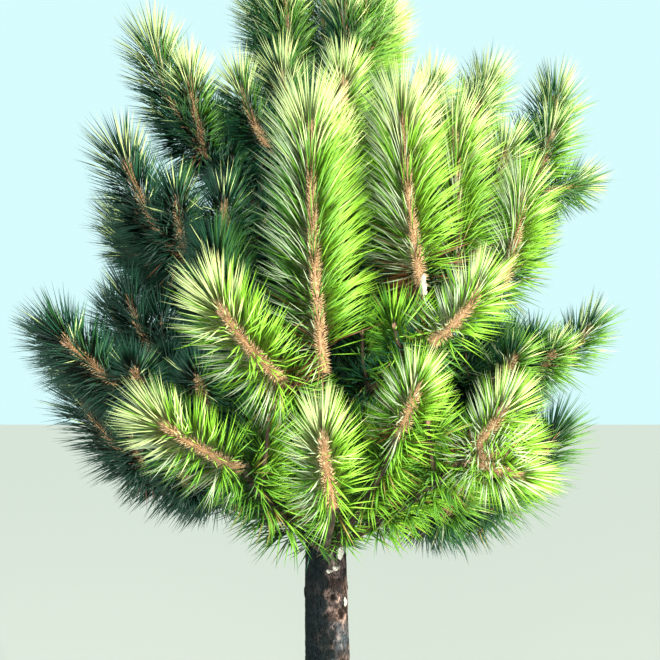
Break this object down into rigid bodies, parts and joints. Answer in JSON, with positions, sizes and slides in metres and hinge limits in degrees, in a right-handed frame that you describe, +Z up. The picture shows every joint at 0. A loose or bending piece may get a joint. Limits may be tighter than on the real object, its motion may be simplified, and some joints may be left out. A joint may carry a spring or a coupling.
{
  "type": "pine tree",
  "caption": "Young pine rooted in the ground: a tapering trunk with a root flare, whorls of upswept boughs, and masses of long paired needles on each bough.",
  "frame": {"origin": "centre of the trunk's flat cut at ground level", "axes": "+Z up the trunk, -Y towards the viewer of the picture, +X to the viewer's right"},
  "size_m": [1.2554, 1.2849, 2.2948],
  "materials": {
    "trunk_bark": "rough plated bark",
    "bough_bark": "scaly young bark",
    "needles": "satin needles"
  },
  "bodies": {
    "root": {"trunk": "trunk_bark", "bough_fourth_1": "bough_bark", "bough_fourth_2": "bough_bark", "bough_fourth_3": "bough_bark", "bough_fourth_4": "bough_bark", "bough_fourth_5": "bough_bark", "bough_low_1": "bough_bark", "bough_low_2": "bough_bark", "bough_low_3": "bough_bark", "bough_low_4": "bough_bark", "bough_low_5": "bough_bark", "bough_low_6": "bough_bark", "bough_low_7": "bough_bark", "bough_second_1": "bough_bark", "bough_second_2": "bough_bark", "bough_second_3": "bough_bark", "bough_second_4": "bough_bark", "bough_second_5": "bough_bark", "bough_second_6": "bough_bark", "bough_second_7": "bough_bark", "bough_third_1": "bough_bark", "bough_third_2": "bough_bark", "bough_third_3": "bough_bark", "bough_third_4": "bough_bark", "bough_third_5": "bough_bark", "bough_third_6": "bough_bark", "bough_third_7": "bough_bark", "foliage_fifth_1": "needles", "foliage_fifth_2": "needles", "foliage_fifth_3": "needles", "foliage_fifth_4": "needles", "foliage_fourth_1": "needles", "foliage_fourth_2": "needles", "foliage_fourth_3": "needles", "foliage_fourth_4": "needles", "foliage_fourth_5": "needles", "foliage_leader": "needles", "foliage_low_1": "needles", "foliage_low_2": "needles", "foliage_low_3": "needles", "foliage_low_4": "needles", "foliage_low_5": "needles", "foliage_low_6": "needles", "foliage_low_7": "needles", "foliage_second_1": "needles", "foliage_second_2": "needles", "foliage_second_3": "needles", "foliage_second_4": "needles", "foliage_second_5": "needles", "foliage_second_6": "needles", "foliage_second_7": "needles", "foliage_third_1": "needles", "foliage_third_2": "needles", "foliage_third_3": "needles", "foliage_third_4": "needles", "foliage_third_5": "needles", "foliage_third_6": "needles", "foliage_third_7": "needles"}
  },
  "joints": []
}
